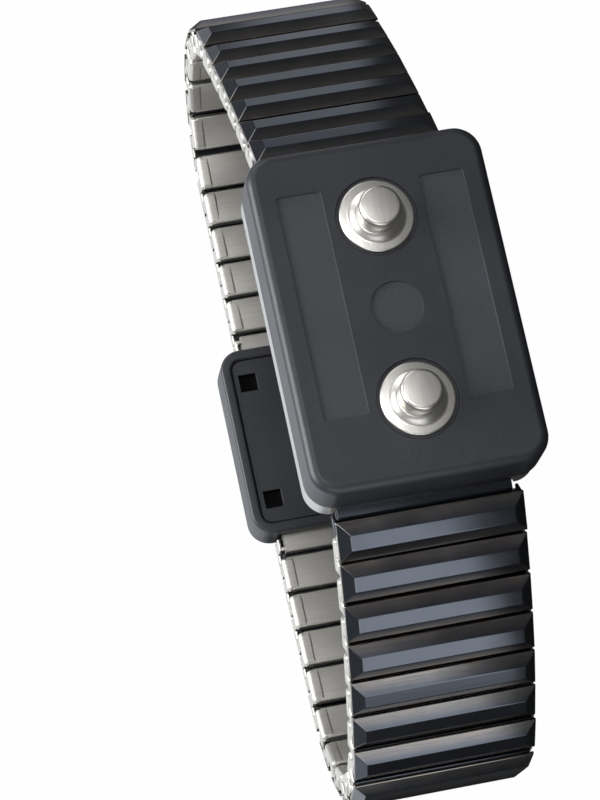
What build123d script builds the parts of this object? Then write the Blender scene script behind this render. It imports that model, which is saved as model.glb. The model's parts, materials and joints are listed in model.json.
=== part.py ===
"""Metal expansion wrist strap for static control, with a two-stud snap housing.

The strap stands on its side edge, closed into the oval that it keeps off the wrist.
X runs along the band at the housing, Y from the snap studs (-Y) through the wrist
to the insulator block (+Y), and Z along the wrist, up from the surface it stands on.

The band is two spring-link halves. Half A leaves the +X end of the housing and half B
the -X end, and both end in the insulator block, which keeps them electrically apart.
Every pitch of a half is one rigid body: an outer link with its black cover, the inner
link that bridges to the next outer link, their leaf springs and their staples.
"""
from build123d import *
from math import atan2, cos, degrees, hypot, pi, radians, sin
import os

# ---- driving dimensions, millimetres and degrees ----
HOUSING_LENGTH = 33.2        # along the band
COVER_HEIGHT = 5.0           # side wall of the black cover
COVER_WALL = 1.2
COVER_CORNER = 2.6           # corner radius seen from the front
COVER_EDGE = 0.9             # rounding of the front edge
CASE_DEPTH = 3.4             # side wall of the steel case back
CASE_WALL = 0.5
CASE_INSET = 0.2             # case back inside the outline of the cover

STUD_SPACING = 18.0
STUD_DIAMETER = 4.0          # standard 4 mm snap
STUD_NECK = 3.2
STUD_HEIGHT = 3.0            # above the face of the cover
STUD_HEAD = 1.5              # height of the head at full diameter
STUD_SHANK = 1.9             # shank through the cover and the terminal strip
STUD_EASE = 0.35             # rounding of the rim and slope under the head
FLANGE_DIAMETER = 7.1
FLANGE_THICKNESS = 0.35
FLANGE_RIM = 0.2             # straight rim of the flange
FLANGE_DISH = 0.45           # rise of the dished flange
SEAT_CLEARANCE = 0.3         # around the flange, in its seat
SEAT_DEPTH = 0.25
PANEL_LENGTH = 22.0          # recessed label panels, left blank
PANEL_WIDTH = 4.3
PANEL_OFFSET = 6.85          # centre of each panel from the middle of the face
PANEL_SHIFT = 1.3            # panels sit a little towards the +X end
PANEL_DEPTH = 0.2
DISC_DIAMETER = 5.0
TERMINAL_WIDTH = 6.0
TERMINAL_THICKNESS = 0.4
RIVET_DIAMETER = 4.2
RIVET_THICKNESS = 0.6
LINER_THICKNESS = 0.8        # insulating liner in the case back
END_GAP = -0.4               # first pivot line from the end of the housing, just inside it

PITCH = 4.03                 # from link to link on the inner face of the band
LINK_GAP = 0.25              # between neighbouring links of one row
COVER_GAP = 0.15             # between neighbouring black covers
BAND_WIDTH = 17.4
SIDE_MARGIN = 2.65           # housing and block beyond each side of the band
INNER_INSET = 0.3            # inner tubes inside each side of the band
TUBE_HEIGHT = 1.1            # both rows are flat steel tubes
TUBE_WALL = 0.2
TUBE_ROUND = 0.18            # rounding of the long edges of the tubes
ROW_GAP = 0.08               # sliding clearance between the rows
COVER_SHELL = 0.3            # thickness of a black link cover
RIDGE_HEIGHT = 1.05          # cover ridge above the outer tube
RIDGE_LIP = 0.3              # straight lip at the foot of the ridge
RIDGE_TOP = 1.5              # width of the flat on top of the ridge
RIDGE_HIP = 1.6              # slope of the ridge at both ends of the link
STAPLE_LEG = 3.2             # leg length into the tubes
STAPLE_THICKNESS = 0.3
STAPLE_WIDTH = 0.42          # width of each leg
BRIDGE_WIDTH = 1.2           # width of the plate that joins the legs at the side of the band
SPRING_THICKNESS = 0.12
SPRING_RISE = 0.35
LINKS_A = (1, 6, 6, 4)       # links in shoulder, flank, bend and back of half A
LINKS_B = (1, 6, 5, 4)       # the same in half B
FLANK_TURN_A = 1.9           # turn per link in the nearly straight flank of half A
FLANK_TURN_B = 4.4           # the same in half B

BLOCK_LENGTH = 20.0          # insulator block, along the band
BLOCK_SHIFT = 0.7            # block centre from the housing centre, along X
BLOCK_DISTANCE = 37.7        # inner face of the band at the block, from the cover's rim
BLOCK_INNER = 1.6            # block depth on the wrist side of the band's inner face
BLOCK_OUTER = 3.6            # block depth on the other side
BLOCK_WALL = 1.1
BLOCK_CORNER = 2.2
BLOCK_EDGE = 0.8
BLOCK_RIM = 0.35             # rounding of the rim towards the wrist
PLATE_RECESS = 0.3           # plate below the rim of the block
WINDOW = 1.8                 # side of the two square inspection windows
WINDOW_INSET = 2.6           # window centre from the side of the block
WINDOW_SPACING = 12.6
CLIP_THICKNESS = 0.5
FIT_GAP = 0.1                # between pieces that are assembled into each other
SLIDE_GAP = 0.3              # around the links that slide in the block

# ---- sizes that follow from the ones above ----
HOUSING_WIDTH = BAND_WIDTH + 2 * SIDE_MARGIN
BLOCK_WIDTH = HOUSING_WIDTH  # equal, so that the strap stands level on its side
INNER_WIDTH = BAND_WIDTH - 2 * INNER_INSET
TUBE_LENGTH = PITCH - LINK_GAP
INNER_LENGTH = TUBE_LENGTH - LINK_GAP
COVER_LENGTH = PITCH - COVER_GAP
STAPLE_REACH = INNER_LENGTH / 2 - TUBE_WALL - STAPLE_WIDTH / 2 - FIT_GAP  # from the pivot line
STAPLE_ROOM = STAPLE_REACH - STAPLE_WIDTH / 2 - LINK_GAP / 2 - TUBE_WALL
STRETCH = STAPLE_ROOM - 2 * FIT_GAP  # largest opening of one pitch, clear at the sharp end bends


# ---- closed shape of the loop ----
def walk(start, side, counts, turns):
    """Pivot points and link directions of one half, from the housing on."""
    points = [start]
    angles = []
    angle = 0.0
    for count, turn in zip(counts, turns):
        for _ in range(count):
            angle += turn
            angles.append(angle)
            x, y = points[-1]
            points.append((x + side * PITCH * cos(angle), y + PITCH * sin(angle)))
    return points, angles


def close_half(side, counts, flank_turn):
    """Turn per link in the shoulder, bend and back that brings one half to the block."""
    start = (side * (HOUSING_LENGTH / 2 + END_GAP), CASE_DEPTH)
    target = (BLOCK_SHIFT + side * BLOCK_LENGTH / 2, BLOCK_DISTANCE)
    turns = [radians(30), radians(22), radians(1)]

    def miss(values):
        full = (values[0], radians(flank_turn), values[1], values[2])
        points, angles = walk(start, side, counts, full)
        last = angles[-1] + values[2] / 2
        return [points[-1][0] - target[0], points[-1][1] - target[1], 20 * (last - pi)]

    for _ in range(40):
        error = miss(turns)
        columns = []
        for i in range(3):
            moved = list(turns)
            moved[i] += 1e-6
            columns.append([(b - a) / 1e-6 for a, b in zip(error, miss(moved))])
        step = solve_three(columns, error)
        turns = [value - max(-0.05, min(0.05, change)) for value, change in zip(turns, step)]
    full = (turns[0], radians(flank_turn), turns[1], turns[2])
    points, angles = walk(start, side, counts, full)
    return points, [0.0] + angles + [pi]


def determinant(a, b, c):
    return (a[0] * (b[1] * c[2] - b[2] * c[1])
            - b[0] * (a[1] * c[2] - a[2] * c[1])
            + c[0] * (a[1] * b[2] - a[2] * b[1]))


def solve_three(columns, values):
    """Cramer's rule for three unknowns."""
    whole = determinant(*columns)
    return [determinant(*[values if i == j else columns[j] for j in range(3)]) / whole
            for i in range(3)]


HALVES = {"a": (1, LINKS_A), "b": (-1, LINKS_B)}
FLANK_TURNS = {"a": FLANK_TURN_A, "b": FLANK_TURN_B}
SHAPE = {name: close_half(*half, FLANK_TURNS[name]) for name, half in HALVES.items()}


def pivot_frame(half, k):
    """Pivot line k of a half: its point, and the direction of the inner link there."""
    points, angles = SHAPE[half]
    return points[k], (angles[k] + angles[k + 1]) / 2


def link_frame(half, k):
    """Outer link k of a half (from 1): mid point of its chord, and its direction."""
    points, angles = SHAPE[half]
    (x0, y0), (x1, y1) = points[k - 1], points[k]
    return ((x0 + x1) / 2, (y0 + y1) / 2), angles[k]


def place(point, angle, side):
    """Plane with x along the band away from the housing, and y outwards from the wrist."""
    along = Vector(side * cos(angle), sin(angle), 0)
    outward = Vector(side * sin(angle), -cos(angle), 0)
    return Plane(origin=(point[0], point[1], HOUSING_WIDTH / 2),
                 x_dir=along, z_dir=along.cross(outward))


def bend_at(half, k):
    """Turn of the band at pivot line k."""
    _, angles = SHAPE[half]
    return angles[k + 1] - angles[k]


def lift(half, k):
    """Height of outer link k above its chord, clear of the inner links it rests on."""
    half_turn = max(bend_at(half, k - 1), bend_at(half, k), 0) / 2
    return (TUBE_HEIGHT * cos(half_turn) + INNER_LENGTH / 2 * sin(half_turn)) + ROW_GAP


# ---- pieces of one link, drawn in link planes: x along the band, y outwards, z across ----
def tube(length, width, height):
    """Flat steel tube, open at both sides of the band."""
    body = Box(length, height, width)
    body -= Box(length - 2 * TUBE_WALL, height - 2 * TUBE_WALL, width + 1)
    outer_edges = body.edges().filter_by(Axis.Z).group_by(lambda e: abs(e.center().X))[-1]
    return fillet(outer_edges, TUBE_ROUND)


def ridge_solid(length, width, height, lip, top, hip):
    """Hipped ridge: a straight lip, then four slopes up to a narrow flat."""
    foot = Pos(0, lip / 2, 0) * Box(length, lip, width)
    low = Plane.XZ.offset(-lip) * Rectangle(length, width)
    high = Plane.XZ.offset(-height) * Rectangle(top, width - 2 * hip)
    return foot + loft([low.face(), high.face()])


def link_cover():
    """Black cover shell, with a tab at each side over the end of the outer tube."""
    skirt = TUBE_HEIGHT / 2
    inside = COVER_SHELL
    outer = ridge_solid(COVER_LENGTH, BAND_WIDTH, RIDGE_HEIGHT, RIDGE_LIP, RIDGE_TOP, RIDGE_HIP)
    hollow = ridge_solid(COVER_LENGTH - 2 * inside, BAND_WIDTH - 2 * inside,
                         RIDGE_HEIGHT - COVER_SHELL, RIDGE_LIP * 0.5,
                         RIDGE_TOP - COVER_SHELL, RIDGE_HIP)
    tab_width = 2 * (PITCH / 2 - STAPLE_REACH - STAPLE_WIDTH / 2 - 2 * FIT_GAP)
    tabs = Part()
    for end in (-1, 1):
        tab = Pos(0, (RIDGE_LIP - skirt) / 2, end * (BAND_WIDTH + COVER_SHELL) / 2)
        tabs += tab * Box(tab_width, skirt + RIDGE_LIP, COVER_SHELL)
    return outer - hollow + tabs


def leaf_spring(width):
    """Arched leaf spring between the staple legs of one tube."""
    reach = width / 2 - STAPLE_LEG - STAPLE_THICKNESS - FIT_GAP
    low = [(-reach, 0), (0, SPRING_RISE), (reach, 0)]
    high = [(x, y + SPRING_THICKNESS) for x, y in low]
    with BuildSketch(Plane.YZ) as profile:
        with BuildLine():
            ThreePointArc(*[(y, x) for x, y in low])
            ThreePointArc(*[(y, x) for x, y in high])
            Line((low[0][1], low[0][0]), (high[0][1], high[0][0]))
            Line((low[2][1], low[2][0]), (high[2][1], high[2][0]))
        make_face()
    depth = TUBE_LENGTH - 2 * TUBE_WALL - 2 * LINK_GAP - 2 * FIT_GAP
    return extrude(profile.sketch, depth / 2, both=True)


def staple(lower, upper, end, which):
    """U-shaped staple at one side of the band, from the inner tube to the outer tube."""
    dx, dy = upper[0] - lower[0], upper[1] - lower[1]
    reach = hypot(dx, dy)
    tilt = Rot(0, 0, degrees(atan2(dy, dx)) - 90)
    middle = Pos((lower[0] + upper[0]) / 2, (lower[1] + upper[1]) / 2, 0)
    inner_z = BAND_WIDTH / 2 - STAPLE_LEG
    outer_z = BAND_WIDTH / 2
    overhang = -which * (BRIDGE_WIDTH - STAPLE_WIDTH) / 2
    bridge = middle * tilt * Pos(overhang, 0, end * (outer_z + STAPLE_THICKNESS / 2)) * Box(
        BRIDGE_WIDTH, reach + STAPLE_THICKNESS, STAPLE_THICKNESS)
    for x, y in (lower, upper):
        bridge += Pos(x, y, 0) * tilt * Pos(0, 0, end * (inner_z + outer_z) / 2) * Box(
            STAPLE_WIDTH, STAPLE_THICKNESS, outer_z - inner_z)
    return bridge


def to_local(half, k, link, along, height):
    """Point of outer link `link`, given in its own plane, in the plane of pivot line k."""
    side, _ = HALVES[half]
    outer_point, outer_angle = link_frame(half, link)
    inner_point, inner_angle = pivot_frame(half, k)
    outer = place(outer_point, outer_angle, side)
    inner = place(inner_point, inner_angle, side)
    spot = inner.to_local_coords(outer.from_local_coords(Vector(along, height, 0)))
    return spot.X, spot.Y


def staples_at(half, k, which):
    """The two staples on one flank of the inner link at pivot line k."""
    link = k if which < 0 else k + 1
    leg_height = lift(half, link) + (TUBE_HEIGHT + FIT_GAP) / 2
    lower = (which * STAPLE_REACH, TUBE_HEIGHT / 2)
    upper = to_local(half, k, link, -which * (PITCH / 2 - STAPLE_REACH), leg_height)
    return [staple(lower, upper, end, which) for end in (-1, 1)]


def inner_link(half, k, flanks):
    """Inner tube at pivot line k with its spring and staples, in place."""
    side, _ = HALVES[half]
    point, angle = pivot_frame(half, k)
    plane = place(point, angle, side)
    pieces = [Pos(0, TUBE_HEIGHT / 2, 0) * tube(INNER_LENGTH, INNER_WIDTH, TUBE_HEIGHT)]
    pieces.append(Pos(0, TUBE_WALL + FIT_GAP / 2, 0) * leaf_spring(INNER_WIDTH))
    for which in flanks:
        pieces += staples_at(half, k, which)
    return [plane * piece for piece in pieces]


def outer_link(half, k):
    """Outer tube k with its spring and black cover, in place."""
    side, _ = HALVES[half]
    point, angle = link_frame(half, k)
    plane = place(point, angle, side)
    base = lift(half, k)
    pieces = [Pos(0, base + TUBE_HEIGHT / 2, 0) * tube(TUBE_LENGTH, BAND_WIDTH, TUBE_HEIGHT)]
    pieces.append(Pos(0, base + TUBE_WALL + FIT_GAP / 2, 0) * leaf_spring(BAND_WIDTH))
    pieces.append(Pos(0, base + TUBE_HEIGHT, 0) * link_cover())
    return [plane * piece for piece in pieces]


# ---- housing: x along the band, front face towards -Y ----
MID_Z = HOUSING_WIDTH / 2
FACE_Y = -COVER_HEIGHT
INNER_FACE_Y = FACE_Y + COVER_WALL
FLOOR_Y = CASE_DEPTH - CASE_WALL
ENDS = {"a": 1, "b": -1}


def rounded_block(length, width, y_front, y_back, corner):
    """Block from y_front to y_back with its four Y edges rounded."""
    middle = Pos(0, (y_front + y_back) / 2, MID_Z)
    return middle * fillet(Box(length, y_back - y_front, width).edges().filter_by(Axis.Y), corner)


def end_pocket(half, gap):
    """Room for the inner link that is fixed in the end of the housing."""
    side, _ = HALVES[half]
    point, angle = pivot_frame(half, 0)
    room = Box(INNER_LENGTH + 2 * gap, TUBE_HEIGHT + 2 * gap, INNER_WIDTH + 2 * gap)
    return place(point, angle, side) * Pos(0, TUBE_HEIGHT / 2, 0) * room


def stud_plane(half):
    """Plane on the face of the cover under one stud, z out of the face."""
    return Plane(origin=(ENDS[half] * STUD_SPACING / 2, FACE_Y, MID_Z), x_dir=(1, 0, 0), z_dir=(0, -1, 0))


def panel(side):
    """Outline block of one recessed label panel."""
    offset = Pos(PANEL_SHIFT, FACE_Y, MID_Z + side * PANEL_OFFSET)
    return offset * Box(PANEL_LENGTH, 2 * PANEL_DEPTH, PANEL_WIDTH)


def housing_cover():
    """Black cover: rounded shell with stud seats, label panels and a small round recess."""
    outer = rounded_block(HOUSING_LENGTH, HOUSING_WIDTH, FACE_Y, 0, COVER_CORNER)
    outer = fillet(outer.faces().sort_by(Axis.Y)[0].edges(), COVER_EDGE)
    inner = rounded_block(HOUSING_LENGTH - 2 * COVER_WALL, HOUSING_WIDTH - 2 * COVER_WALL,
                          INNER_FACE_Y, 1, COVER_CORNER - COVER_WALL)
    cover = outer - inner
    for side in (-1, 1):
        cover -= panel(side)
    middle = Plane(origin=(0, FACE_Y, MID_Z), z_dir=(0, -1, 0))
    cover -= middle * Cylinder(DISC_DIAMETER / 2, 2 * PANEL_DEPTH)
    for half in ENDS:
        seat = Cylinder(FLANGE_DIAMETER / 2 + SEAT_CLEARANCE, 2 * SEAT_DEPTH)
        hole = Cylinder(STUD_SHANK / 2 + FIT_GAP, 4 * COVER_WALL)
        cover -= stud_plane(half) * (seat + hole)
    return cover


def case_back():
    """Steel tray on the wrist side, with a notch at each end for the band."""
    length = HOUSING_LENGTH - 2 * CASE_INSET
    width = HOUSING_WIDTH - 2 * CASE_INSET
    corner = COVER_CORNER - CASE_INSET
    outer = rounded_block(length, width, 0, CASE_DEPTH, corner)
    outer = fillet(outer.faces().sort_by(Axis.Y)[-1].edges(), CASE_WALL)
    tray = outer - rounded_block(length - 2 * CASE_WALL, width - 2 * CASE_WALL, -1, FLOOR_Y,
                                 corner - CASE_WALL)
    for half in ENDS:
        tray -= end_pocket(half, SLIDE_GAP)
    return tray


def case_liner():
    """Insulating liner on the floor of the case back."""
    gap = CASE_INSET + CASE_WALL + FIT_GAP
    liner = rounded_block(HOUSING_LENGTH - 2 * gap, HOUSING_WIDTH - 2 * gap,
                          FLOOR_Y - LINER_THICKNESS, FLOOR_Y, COVER_CORNER - gap)
    for half in ENDS:
        liner -= end_pocket(half, FIT_GAP)
    return liner


def snap_stud(half):
    """Snap stud: flat-topped head, neck, and a shank through cover and strip."""
    low = -(COVER_WALL + TERMINAL_THICKNESS + RIVET_THICKNESS)
    neck, head, shank = STUD_NECK / 2, STUD_DIAMETER / 2, STUD_SHANK / 2
    shoulder = -SEAT_DEPTH
    with BuildSketch(Plane.XZ) as profile:
        with BuildLine():
            Polyline((0, low), (shank, low), (shank, shoulder), (neck, shoulder),
                     (neck, STUD_HEIGHT - STUD_HEAD - STUD_EASE), (head, STUD_HEIGHT - STUD_HEAD),
                     (head, STUD_HEIGHT - STUD_EASE))
            RadiusArc((head, STUD_HEIGHT - STUD_EASE), (head - STUD_EASE, STUD_HEIGHT), -STUD_EASE)
            Polyline((head - STUD_EASE, STUD_HEIGHT), (0, STUD_HEIGHT), (0, low))
        make_face()
    return stud_plane(half) * revolve(profile.sketch, Axis.Z)


def stud_flange(half):
    """Dished washer round the neck of a stud, in its seat."""
    rim, bore = FLANGE_DIAMETER / 2, STUD_NECK / 2 + FIT_GAP / 2
    floor = -SEAT_DEPTH
    with BuildSketch(Plane.XZ) as profile:
        with BuildLine():
            Polyline((bore, floor), (rim, floor), (rim, floor + FLANGE_RIM),
                     (rim - FLANGE_THICKNESS + FLANGE_RIM, floor + FLANGE_THICKNESS),
                     (bore, floor + FLANGE_THICKNESS + FLANGE_DISH), (bore, floor))
        make_face()
    return stud_plane(half) * revolve(profile.sketch, Axis.Z)


def terminal_strip(half):
    """Brass strip from the foot of a stud to the inner link in the end of the housing."""
    end = ENDS[half]
    x_stud = STUD_SPACING / 2
    points, _ = SHAPE[half]
    x_leg = abs(points[0][0]) - INNER_LENGTH / 2 - TERMINAL_THICKNESS - FIT_GAP
    y_foot = CASE_DEPTH - TUBE_HEIGHT - LINER_THICKNESS
    flat_length = x_leg - x_stud + RIVET_DIAMETER / 2 + TERMINAL_THICKNESS
    flat_middle = (x_leg + TERMINAL_THICKNESS + x_stud - RIVET_DIAMETER / 2) / 2
    flat = Pos(flat_middle, INNER_FACE_Y + TERMINAL_THICKNESS / 2, MID_Z) * Box(
        flat_length, TERMINAL_THICKNESS, TERMINAL_WIDTH)
    leg = Pos(x_leg + TERMINAL_THICKNESS / 2, (INNER_FACE_Y + y_foot) / 2, MID_Z) * Box(
        TERMINAL_THICKNESS, y_foot - INNER_FACE_Y, TERMINAL_WIDTH)
    strip = flat + leg
    hole = Pos(x_stud, INNER_FACE_Y, MID_Z) * Rot(90, 0, 0) * Cylinder(
        STUD_SHANK / 2 + FIT_GAP / 2, 4 * TERMINAL_THICKNESS)
    strip -= hole
    return strip if end > 0 else strip.mirror(Plane.YZ)


def stud_rivet(half):
    """Ring that clamps the shank of a stud against the terminal strip."""
    low = -(COVER_WALL + TERMINAL_THICKNESS + RIVET_THICKNESS / 2)
    ring = Cylinder(RIVET_DIAMETER / 2, RIVET_THICKNESS) - Cylinder(STUD_SHANK / 2 + FIT_GAP / 2, 1)
    return stud_plane(half) * Pos(0, 0, low) * ring


# ---- insulator block on the far side of the wrist ----
BLOCK_FRONT = BLOCK_DISTANCE - BLOCK_INNER
BLOCK_BACK = BLOCK_DISTANCE + BLOCK_OUTER
PLATE_FRONT = BLOCK_FRONT + PLATE_RECESS
PLATE_BACK = BLOCK_DISTANCE - SLIDE_GAP
BODY_LENGTH = BLOCK_LENGTH - 2 * FIT_GAP


def block_pocket(half):
    """Room for the last inner link of a half, which slides out as the band opens."""
    side, _ = HALVES[half]
    points, _ = SHAPE[half]
    point, angle = pivot_frame(half, len(points) - 1)
    room = Box(INNER_LENGTH + 2 * SLIDE_GAP, TUBE_HEIGHT + 2 * SLIDE_GAP, INNER_WIDTH + 2 * SLIDE_GAP)
    return place(point, angle, side) * Pos(0, TUBE_HEIGHT / 2, 0) * room


def block_shell():
    """Cup-shaped shell, open towards the wrist, with a raised rim and a mouth at each end."""
    outer = rounded_block(BODY_LENGTH, BLOCK_WIDTH, BLOCK_FRONT, BLOCK_BACK, BLOCK_CORNER)
    outer = fillet(outer.faces().sort_by(Axis.Y)[-1].edges(), BLOCK_EDGE)
    outer = fillet(outer.faces().sort_by(Axis.Y)[0].edges(), BLOCK_RIM)
    inner = rounded_block(BODY_LENGTH - 2 * BLOCK_WALL, BLOCK_WIDTH - 2 * BLOCK_WALL, BLOCK_FRONT - 1,
                          BLOCK_BACK - BLOCK_WALL, BLOCK_CORNER - BLOCK_WALL)
    shell = Pos(BLOCK_SHIFT, 0, 0) * (outer - inner)
    for half in HALVES:
        shell -= block_pocket(half)
    return shell


def block_plate():
    """Plate inside the rim of the block, with two square inspection windows."""
    gap = BLOCK_WALL + FIT_GAP / 2
    plate = rounded_block(BODY_LENGTH - 2 * gap, BLOCK_WIDTH - 2 * gap, PLATE_FRONT, PLATE_BACK,
                          BLOCK_CORNER - gap)
    y_window = (PLATE_FRONT + PLATE_BACK) / 2
    z_window = BLOCK_WIDTH - WINDOW_INSET
    for end in (-1, 1):
        plate -= Pos(end * WINDOW_SPACING / 2, y_window, z_window) * Box(WINDOW, 2, WINDOW)
    plate = Pos(BLOCK_SHIFT, 0, 0) * plate
    for half in HALVES:
        plate -= block_pocket(half)
    return plate


def block_divider():
    """Wall that keeps the two halves of the band electrically apart."""
    back = BLOCK_BACK - BLOCK_WALL
    width = BLOCK_WIDTH - 2 * BLOCK_WALL - 2 * FIT_GAP
    height = back - PLATE_BACK - FIT_GAP
    return Pos(BLOCK_SHIFT, (PLATE_BACK + back) / 2, MID_Z) * Box(2 * BLOCK_WALL, height, width)


def block_clip(half):
    """Steel clip that backs the last inner link of one half."""
    reach = BODY_LENGTH / 2 - BLOCK_WALL - BLOCK_WALL - 2 * FIT_GAP
    middle = BLOCK_SHIFT + ENDS[half] * (BLOCK_WALL + FIT_GAP + reach / 2)
    y_clip = BLOCK_DISTANCE + TUBE_HEIGHT + SLIDE_GAP + CLIP_THICKNESS / 2 + FIT_GAP
    clip = Pos(middle, y_clip, MID_Z) * Box(reach, CLIP_THICKNESS, INNER_WIDTH - 2 * FIT_GAP)
    return clip - block_pocket(half)


# ---- the whole strap ----
def build():
    """Every node of the strap, in the housing's own position."""
    nodes = {
        "housing_cover": [housing_cover()],
        "case_back": [case_back()],
        "case_liner": [case_liner()],
        "block_shell": [block_shell()],
        "block_plate": [block_plate()],
        "block_divider": [block_divider()],
    }
    for half, (_, counts) in HALVES.items():
        nodes[f"snap_stud_{half}"] = [snap_stud(half)]
        nodes[f"stud_flange_{half}"] = [stud_flange(half)]
        nodes[f"stud_rivet_{half}"] = [stud_rivet(half)]
        nodes[f"terminal_strip_{half}"] = [terminal_strip(half)]
        nodes[f"block_clip_{half}"] = [block_clip(half)]
        nodes[f"end_link_{half}"] = inner_link(half, 0, (1,))
        for k in range(1, sum(counts) + 1):
            flanks = (-1, 1) if k < sum(counts) else (-1,)
            nodes[f"band_{half}_link_{k:02d}"] = outer_link(half, k) + inner_link(half, k, flanks)
    return nodes


def centred(nodes):
    """The same nodes with the origin under the middle of the strap."""
    box = Compound([piece for pieces in nodes.values() for piece in pieces]).bounding_box()
    shift = Pos(-(box.min.X + box.max.X) / 2, -(box.min.Y + box.max.Y) / 2, -box.min.Z)
    moved = {name: [shift * piece for piece in pieces] for name, pieces in nodes.items()}
    return moved, shift


NODES, SHIFT = centred(build())
os.makedirs("parts", exist_ok=True)
for name, pieces in NODES.items():
    shape = pieces[0] if len(pieces) == 1 else Compound(pieces)
    export_step(shape, f"parts/{name}.step")
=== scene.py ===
"""Looks of a metal expansion wrist strap with a two-stud snap housing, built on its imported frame.

The strap stands on its side edge. X runs along the band at the housing, -Y is the way
the snap studs point, and Z runs along the wrist. All lengths are in metres.
"""

import json
import math

import bmesh
import bpy
from bpy.props import FloatProperty, FloatVectorProperty, IntProperty, PointerProperty
from mathutils import Matrix, Vector

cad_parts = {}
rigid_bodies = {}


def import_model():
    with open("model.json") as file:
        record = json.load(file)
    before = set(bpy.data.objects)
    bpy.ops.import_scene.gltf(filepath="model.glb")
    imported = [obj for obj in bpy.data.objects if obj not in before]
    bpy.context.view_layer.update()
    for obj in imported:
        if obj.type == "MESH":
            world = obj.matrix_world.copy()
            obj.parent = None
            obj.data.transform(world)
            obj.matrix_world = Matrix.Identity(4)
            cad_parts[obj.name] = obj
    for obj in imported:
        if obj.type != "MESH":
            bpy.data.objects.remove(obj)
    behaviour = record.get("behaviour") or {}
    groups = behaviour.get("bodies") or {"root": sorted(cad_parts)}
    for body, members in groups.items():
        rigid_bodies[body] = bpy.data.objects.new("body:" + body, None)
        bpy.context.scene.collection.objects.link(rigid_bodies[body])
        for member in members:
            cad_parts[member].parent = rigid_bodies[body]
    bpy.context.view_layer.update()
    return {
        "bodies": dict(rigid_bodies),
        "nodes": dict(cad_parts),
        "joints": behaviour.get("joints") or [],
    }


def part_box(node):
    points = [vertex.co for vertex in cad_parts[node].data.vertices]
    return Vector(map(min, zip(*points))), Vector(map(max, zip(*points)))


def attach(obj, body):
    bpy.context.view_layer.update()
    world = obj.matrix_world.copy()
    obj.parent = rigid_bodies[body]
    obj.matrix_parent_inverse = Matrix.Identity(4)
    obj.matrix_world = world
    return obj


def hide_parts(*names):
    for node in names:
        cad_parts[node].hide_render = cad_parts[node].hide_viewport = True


bl_info = {
    "name": "Expansion wrist strap",
    "version": (1, 0, 0),
    "blender": (4, 5, 0),
    "location": "View3D > Sidebar > Wrist strap",
    "description": "Builds the housing, studs, spring links and insulator block of a wrist strap",
    "category": "Object",
}

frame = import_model()

cover_low, cover_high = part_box("housing_cover")
case_low, case_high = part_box("case_back")
block_low, block_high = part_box("block_shell")
plate_low, plate_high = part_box("block_plate")
MIDDLE = (cover_low + cover_high) / 2
FACE_Y = cover_low.y
RIM_Y = cover_high.y
SKIN_Y = case_high.y
BLOCK_MIDDLE = (block_low + block_high) / 2
SIDES = {"a": 1, "b": -1}
SMOOTH_ANGLE = math.radians(38)      # faces that meet at less are shaded as one surface
FLAT_ANGLE = math.radians(50)        # the same where flats keep their own normal


# ---- sizes and colours that a user would change ----
def length(name, description, default, least=0.0):
    return FloatProperty(name=name, description=description, default=default, min=least,
                         unit="LENGTH", precision=5)


def colour(name, description, default):
    return FloatVectorProperty(name=name, description=description, default=default, size=3,
                               min=0.0, max=1.0, subtype="COLOR")


class LinkSizes(bpy.types.PropertyGroup):
    """Sizes of the spring links, which repeat along the band."""
    pitch: length("Pitch", "From link to link on the inner face of the band", 0.00403)
    end_gap: length("End gap", "From the end of the housing to the first pivot line", -0.0004, -0.002)
    link_gap: length("Link gap", "Between neighbouring tubes of one row", 0.00025)
    cover_gap: length("Cover gap", "Between neighbouring black covers", 0.00015)
    band_width: length("Band width", "Across the outer row of tubes", 0.0174)
    inner_inset: length("Inner inset", "Inner tubes inside each side of the band", 0.0003)
    tube_height: length("Tube height", "Both rows are flat steel tubes", 0.0011)
    tube_wall: length("Tube wall", "Sheet thickness of the tubes", 0.0002)
    tube_round: length("Tube rounding", "Radius of the long edges of the tubes", 0.00018)
    row_gap: length("Row gap", "Sliding clearance between the two rows", 0.00008)
    ridge_height: length("Ridge height", "Black cover above its outer tube", 0.00105)
    ridge_lip: length("Ridge lip", "Straight lip at the foot of a cover", 0.0003)
    ridge_top: length("Ridge top", "Width of the flat on top of a cover", 0.0015)
    ridge_hip: length("Ridge hip", "Slope at both ends of a cover", 0.0011)
    ridge_edge: length("Ridge edge", "Rounding of the edges of a cover", 0.00007)
    tab_width: length("Tab width", "Side tab of a link, between its staples", 0.00095)
    staple_reach: length("Staple reach", "Staple legs from the pivot line", 0.001255)
    staple_leg: length("Staple leg", "Length of a staple leg in its tube", 0.0032)
    staple_width: length("Staple width", "Width of a staple leg", 0.00042)
    bridge_width: length("Bridge width", "Plate that joins the two legs of a staple", 0.0013)
    staple_sheet: length("Staple sheet", "Thickness of the staples and side tabs", 0.0003)
    cap_sheet: length("Cap thickness", "Caps on the sides of the inner tubes, beyond the band", 0.00036)
    cap_lap: length("Cap lap", "Caps proud of the face of the inner tubes", 0.00004)
    cap_reach: length("Cap reach", "Caps over the face of the inner tubes", 0.0011)
    cap_round: length("Cap rounding", "Rounding of the edges of a cap", 0.00042)
    spring_sheet: length("Spring sheet", "Thickness of the leaf springs", 0.00012)
    spring_rise: length("Spring rise", "Arch of the leaf springs", 0.00035)
    fit_gap: length("Fit gap", "Between pieces that are put into each other", 0.0001)
    play: FloatProperty(name="Play", description="Largest random lean of a link on its staples",
                        default=math.radians(0.9), subtype="ANGLE")
    seed: IntProperty(name="Seed", description="Seed of the random lean of the links", default=7)


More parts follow.
